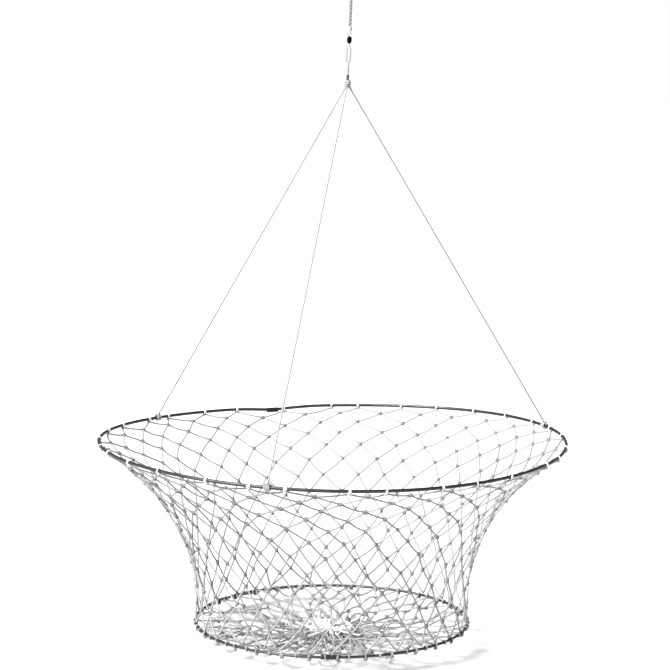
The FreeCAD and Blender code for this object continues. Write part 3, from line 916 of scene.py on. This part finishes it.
class CRABTRAP_OT_hoops(bpy.types.Operator):
    """Finishes the two spring-steel hoops and crimps the sleeves over their joints"""

    bl_idname = "crabtrap.hoops"
    bl_label = "Hoops"

    def execute(self, context):
        metal = context.scene.crab_trap.metal
        made = spring_steel_wire("drawn spring steel", metal.hoop_colour)
        finish_of("upper_hoop", made)
        finish_of("lower_hoop", made)
        sleeve = crimped_ferrule("crimped steel sleeve", metal.sleeve_colour, 0.9, 0.45)
        size = HOOP_WIRE + 2 * SLEEVE_WALL
        place = (upper_wire, JOINT_ANGLE)
        self.crimp("upper_hoop_sleeve", *place, size, SLEEVE_LENGTH, "rim", sleeve)
        size = BASE_WIRE + 2 * BASE_SLEEVE_WALL
        place = (lower_wire, BASE_JOINT_ANGLE)
        self.crimp("lower_hoop_sleeve", *place, size, BASE_SLEEVE_LENGTH, "base", sleeve)
        return {"FINISHED"}

    def crimp(self, node, wire, angle, size, long, body, made):
        """A round sleeve with its ends bevelled and three dents pressed in."""
        dents, half_dent, pressed = (-0.26, 0.0, 0.26), 0.08, (0.9, 0.94)
        bpy.ops.object.select_all(action="DESELECT")
        bpy.ops.mesh.primitive_cylinder_add(vertices=24, radius=size / 2, depth=long)
        obj = bpy.context.object
        bpy.ops.object.mode_set(mode="EDIT")
        for share in [dent + side for dent in dents for side in (-half_dent, 0.0, half_dent)]:
            bpy.ops.mesh.select_all(action="SELECT")
            bpy.ops.mesh.bisect(plane_co=(0, 0, share * long), plane_no=(0, 0, 1))
        bpy.ops.object.mode_set(mode="OBJECT")
        for vertex in obj.data.vertices:
            if any(abs(vertex.co.z / long - dent) < half_dent / 8 for dent in dents):
                vertex.co.x *= pressed[0]
                vertex.co.y *= pressed[1]
        bevel = obj.modifiers.new("rounded ends", "BEVEL")
        bevel.width, bevel.segments, bevel.limit_method = 0.0005, 2, "ANGLE"
        bpy.ops.object.modifier_apply(modifier=bevel.name)
        place = HANG @ basis(run_of(wire, angle), polar(1, angle, 0), wire(angle))
        obj.data.transform(place)
        bpy.ops.object.shade_smooth_by_angle(angle=math.radians(40))
        obj.name = "crimped_" + node
        obj.data.materials.append(made)
        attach(obj, body)
        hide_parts(node)


# Bridle


def leg_foot(name):
    """The middle of the knot on top of a leg's hitch, where the trap hangs."""
    angle = LEG_START + LEG_ANGLES[name]
    return HANG @ (upper_wire(angle) + Vector((0, 0, HOOP_WIRE / 2 + HITCH_WALL)))


class CRABTRAP_OT_bridle(bpy.types.Operator):
    """Hangs the upper hoop on three legs, each hitched round the wire"""

    bl_idname = "crabtrap.bridle"
    bl_label = "Bridle legs and hitches"

    def execute(self, context):
        cords = context.scene.crab_trap.cords
        made = braided_nylon_cord("braided pale nylon", cords.bridle_colour)
        for name in LEG_ANGLES:
            self.leg(name, cords, made)
            self.hitch(name, cords, made)
        self.apex(cords, made)
        return {"FINISHED"}

    def leg(self, name, cords, made):
        """A leg pulled straight between the apex knot and its hitch."""
        foot, in_knot = leg_foot(name), 0.003
        apex = Vector((0, 0, (APEX_LOW + APEX_HIGH) / 2))
        start = apex + (foot - apex).normalized() * in_knot
        route = [start, start.lerp(foot, 0.34), start.lerp(foot, 0.67), foot]
        line = spaced(smooth_line(route), 0.003)
        strands = Strands()
        strands.lay(line, cords.bridle / 2, 10)
        piece = strands.piece(f"bridle_cord_{name}", made, "bridle_cord")
        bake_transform(piece)
        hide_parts(f"bridle_leg_{name}")

    def hitch(self, name, cords, made):
        """Turns of the leg's cord round the hoop, with its end knotted on top."""
        angle = LEG_START + LEG_ANGLES[name]
        centre, along = upper_wire(angle), run_of(upper_wire, angle)
        radius, cord = (HOOP_WIRE + cords.bridle) / 2, cords.bridle
        strands = Strands()
        turns = helix(centre, along, radius, cord * 1.05, 3.0, 16)
        strands.lay([HANG @ point for point in turns], cord / 2, 8)
        top = centre + Vector((0, 0, HOOP_WIRE / 2 + HITCH_WALL))
        knot = knotted(top, Vector((0, 0, 1)), along, 0.0021)
        strands.lay([HANG @ point for point in knot], cord / 2, 8)
        steps = ((0.0, 0.0), (0.004, 0.001), (0.009, -0.002), (0.012, -0.007))
        tail = [top + along * far + Vector((0, 0, up)) for far, up in steps]
        strands.lay([HANG @ point for point in spaced(smooth_line(tail), 0.0012)], cord / 2, 8)
        piece = strands.piece(f"hitch_{name}", made, "bridle_cord")
        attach(piece, "rim")
        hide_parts(f"bridle_hitch_{name}")

    def apex(self, cords, made):
        """The barrel knot that gathers the three legs, and the small loop above it."""
        cord = cords.bridle
        rise, loop_half = cord * 1.02, 0.0019
        middle = Vector((0, 0, (APEX_LOW + APEX_HIGH) / 2))
        strands = Strands()
        turns = (APEX_HIGH - APEX_LOW) / rise - 1
        strands.lay(helix(middle, Vector((0, 0, 1)), APEX_RADIUS, rise, turns, 16), cord / 2, 8)
        over = [Vector((0.0, -0.003, APEX_HIGH - 0.001)), Vector((0.002, -0.0052, middle.z + 0.0025)),
                Vector((-0.0015, -0.0054, middle.z - 0.0015)), Vector((-0.001, -0.002, APEX_LOW + 0.0005))]
        strands.lay(spaced(smooth_line(over), 0.0012), cord / 2, 8)
        piece = strands.piece("apex_barrel_knot", made, "bridle_cord")
        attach(piece, "bridle_head")
        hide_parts("bridle_apex_knot")
        loop = Strands()
        loop.lay(narrow_loop(loop_half, LOOP_TOP - cord / 2, APEX_HIGH - 0.001), cord / 2, 10)
        piece = loop.piece("bridle_link_loop", made, "bridle_cord")
        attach(piece, "bridle_head")
        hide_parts("bridle_loop")


def knotted(centre, along, out, size):
    """The line of a small overhand knot drawn tight, about a centre. It is a trefoil."""
    place = basis(along, out, centre)
    points, steps, scale = [], 36, size / 2.6
    for step in range(steps + 1):
        t = 2 * math.pi * step / steps
        across = math.sin(t) + 2 * math.sin(2 * t)
        over = math.cos(t) - 2 * math.cos(2 * t)
        points.append(place @ (Vector((across, over, -1.4 * math.sin(3 * t))) * scale))
    return points


# Swivel and haul line


class CRABTRAP_OT_swivel(bpy.types.Operator):
    """Finishes the connector link, the barrel swivel and the bridle's crimp"""

    bl_idname = "crabtrap.swivel"
    bl_label = "Swivel and link"

    def execute(self, context):
        metal = context.scene.crab_trap.metal
        bright = plated_metal("nickel-plated wire", metal.link_colour, 0.16)
        for node in ("connector_link", "swivel_upper_eye", "swivel_lower_eye"):
            finish_of(node, bright)
        finish_of("swivel_barrel", plated_metal("black-nickel plated brass", metal.barrel_colour, 0.3))
        finish_of("bridle_crimp", crimped_ferrule("squeezed aluminium", metal.crimp_colour, 0.85, 0.5))
        return {"FINISHED"}


class CRABTRAP_OT_haul_line(bpy.types.Operator):
    """Lays the haul line with its hand loop, its knot, its whipping and its thinned end"""

    bl_idname = "crabtrap.haul_line"
    bl_label = "Haul line"

    def execute(self, context):
        cords = context.scene.crab_trap.cords
        made = twisted_nylon_twine("laid grey line", cords.haul_colour, 0.012)
        middle = cords.haul / 2 - HAND_LOOP_RADIUS
        outside = HAND_LOOP_RADIUS * 1.04       # the smooth line runs a little inside its route
        round_loop = [
            Vector((outside * math.cos(math.radians(a)), 0, middle + outside * math.sin(math.radians(a))))
            for a in (-12, 15, 42, 69, 96, 123, 150, 177, 195)
        ]
        route = [
            Vector((0, 0, LINE_LOW)),
            Vector((0, 0, LINE_LOW + 0.015)),
            Vector((0, 0, LINE_LOW + 0.030)),
            Vector((0, 0, LINE_HIGH)),
            Vector((0.0021, 0, LOOP_KNOT_TOP)),
            Vector((0.0068, 0, LOOP_KNOT_TOP + 0.020)),
            *round_loop,
            Vector((-0.0075, 0, LOOP_KNOT_TOP + 0.022)),
            Vector((-0.0021, 0, LOOP_KNOT_TOP)),
            Vector((-0.0015, 0.001, LOOP_KNOT_TOP - 0.008)),
        ]
        line = spaced(smooth_line(route), 0.001)
        strands = Strands()
        strands.rope(line, cords.haul, ROPE_LAY, 7)
        piece = strands.piece("laid_haul_line", made, "haul_cord")
        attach(piece, "haul")
        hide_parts("haul_line", "hand_loop")
        knot = self.knot(cords, made)
        self.whipping(cords)
        return {"FINISHED"}

    def knot(self, cords, made):
        """The loop's knot: turns of the line round both its parts, drawn down hard."""
        cord = cords.haul
        middle = Vector((0, 0, (LINE_HIGH + LOOP_KNOT_TOP) / 2))
        strands = Strands()
        wraps = helix(middle, Vector((0, 0, 1)), 0.9 * cord, cord * 0.92, 2.8, 24, 0.6)
        strands.rope(spaced(wraps, 0.001), cord, ROPE_LAY, 7)
        piece = strands.piece("hand_loop_wraps", made, "haul_cord")
        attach(piece, "haul")
        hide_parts("hand_loop_knot")
        return piece

    def whipping(self, cords):
        """Thread bound round the line's end, and the thinned end that goes through the swivel's eye."""
        thread, taper, taper_share, steps = cords.whipping, 0.0006, 1 / 3.2, 16
        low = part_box("haul_whipping")[0].z + thread / 2
        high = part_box("haul_whipping")[1].z - thread / 2
        strands = Strands()
        turns = (high - low) / thread
        count = round(turns * steps)
        line = []
        for i in range(count + 1):
            turn, share = 2 * math.pi * turns * i / count, i / count
            radius = (cords.haul + thread) / 2 - taper * max(0.0, 1 - share / taper_share)
            height = low + (high - low) * share
            line.append(Vector((radius * math.cos(turn), radius * math.sin(turn), height)))
        strands.lay(line, thread / 2, 6)
        made = twisted_nylon_twine("waxed whipping thread", cords.whipping_colour, 0.003)
        piece = strands.piece("bound_whipping", made, "whipping_twine")
        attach(piece, "haul")
        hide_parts("haul_whipping")
        loop, half = Strands(), 0.00145
        bend = END_BEND + cords.end_loop / 2
        loop.lay(narrow_loop(half, bend, LINE_LOW + 0.0005), cords.end_loop / 2, 10)
        piece = loop.piece("haul_end_bight", made, "haul_cord")
        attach(piece, "haul")
        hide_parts("haul_end_loop")


# Stage


class CRABTRAP_OT_stage(bpy.types.Operator):
    """Sets out the pale floor, the soft lights and the camera"""

    bl_idname = "crabtrap.stage"
    bl_label = "Stage"

    def execute(self, context):
        settings = context.scene.crab_trap.stage
        self.floor(settings)
        self.lights()
        self.camera(settings)
        return {"FINISHED"}

    def floor(self, settings):
        """A wide level floor just under the trap."""
        bpy.ops.object.select_all(action="DESELECT")
        bpy.ops.mesh.primitive_circle_add(
            vertices=96, radius=40.0, fill_type="NGON", location=(0, 0, cad_box[0].z - 0.001)
        )
        floor = bpy.context.object
        floor.name = "floor"
        floor.data.materials.append(painted_floor("matt floor paint", settings.floor_colour))

    def lights(self):
        """One soft key light from the left and in front, and an even white room that fills its shadows."""
        scene = bpy.context.scene
        world = bpy.data.worlds.new("studio")
        world.use_nodes = True
        backdrop = world.node_tree.nodes["Background"]
        backdrop.inputs["Color"].default_value = (1.0, 1.0, 1.0, 1.0)
        seen = add(world.node_tree, "LightPath").outputs["Is Camera Ray"]
        strength = add(world.node_tree, "MapRange", {"Value": seen, "To Min": 0.3, "To Max": 1.0})
        world.node_tree.links.new(strength.outputs["Result"], backdrop.inputs["Strength"])
        scene.world = world
        scene.view_settings.view_transform = "Standard"
        light = bpy.data.lights.new("key", "SUN")
        light.energy, light.angle = 9.5, math.radians(26)
        key = bpy.data.objects.new("key", light)
        scene.collection.objects.link(key)
        towards = Vector((0.59, 0.46, -0.66))
        key.rotation_euler = towards.to_track_quat("-Z", "Y").to_euler()

    def camera(self, settings):
        """The camera looks a little over the basket, and is turned a little about its own line of sight."""
        camera = bpy.data.cameras.new("camera")
        camera.lens, camera.sensor_width = 114.5, 36.0
        camera.clip_end = 200.0
        obj = bpy.data.objects.new("camera", camera)
        bpy.context.scene.collection.objects.link(obj)
        tilt = settings.elevation
        raised_aim, pan, roll = math.radians(2.85), math.radians(0.055), math.radians(2.39)
        place = Matrix.Translation((0, 0, HOOP_Z)) @ Matrix.Rotation(-tilt, 4, "X")
        spot = place @ Vector((0, -settings.distance, 0))
        turn = Matrix.Rotation(pan, 4, "Z") @ Matrix.Rotation(math.pi / 2 - tilt + raised_aim, 4, "X")
        obj.matrix_world = Matrix.Translation(spot) @ turn @ Matrix.Rotation(roll, 4, "Z")
        bpy.context.scene.camera = obj


OPERATORS = (
    CRABTRAP_OT_hoops,
    CRABTRAP_OT_rim_lashing,
    CRABTRAP_OT_base_lashing,
    CRABTRAP_OT_side_netting,
    CRABTRAP_OT_bottom_netting,
    CRABTRAP_OT_draw_cord,
    CRABTRAP_OT_bridle,
    CRABTRAP_OT_swivel,
    CRABTRAP_OT_haul_line,
    CRABTRAP_OT_stage,
)
SETTINGS = (NettingSettings, CordSettings, MetalSettings, StageSettings, TrapSettings)


class CRABTRAP_PT_panel(bpy.types.Panel):
    """Lists the trap's pieces and their sizes and colours"""

    bl_idname = "CRABTRAP_PT_panel"
    bl_label = "Crab trap"
    bl_space_type = "VIEW_3D"
    bl_region_type = "UI"
    bl_category = "Crab trap"

    def draw(self, context):
        trap = context.scene.crab_trap
        for title, group in (
            ("Netting", trap.netting), ("Cords", trap.cords), ("Metal", trap.metal), ("Stage", trap.stage),
        ):
            box = self.layout.box()
            box.label(text=title)
            for name in group.__annotations__:
                box.prop(group, name)
        for operator in OPERATORS:
            self.layout.operator(operator.bl_idname)


def register():
    for cls in SETTINGS + OPERATORS + (CRABTRAP_PT_panel,):
        bpy.utils.register_class(cls)
    bpy.types.Scene.crab_trap = bpy.props.PointerProperty(type=TrapSettings)


def unregister():
    del bpy.types.Scene.crab_trap
    for cls in reversed(SETTINGS + OPERATORS + (CRABTRAP_PT_panel,)):
        bpy.utils.unregister_class(cls)


def main():
    """Makes every piece in order."""
    register()
    for operator in OPERATORS:
        group, name = operator.bl_idname.split(".")
        getattr(getattr(bpy.ops, group), name)()


if __name__ == "__main__":
    main()
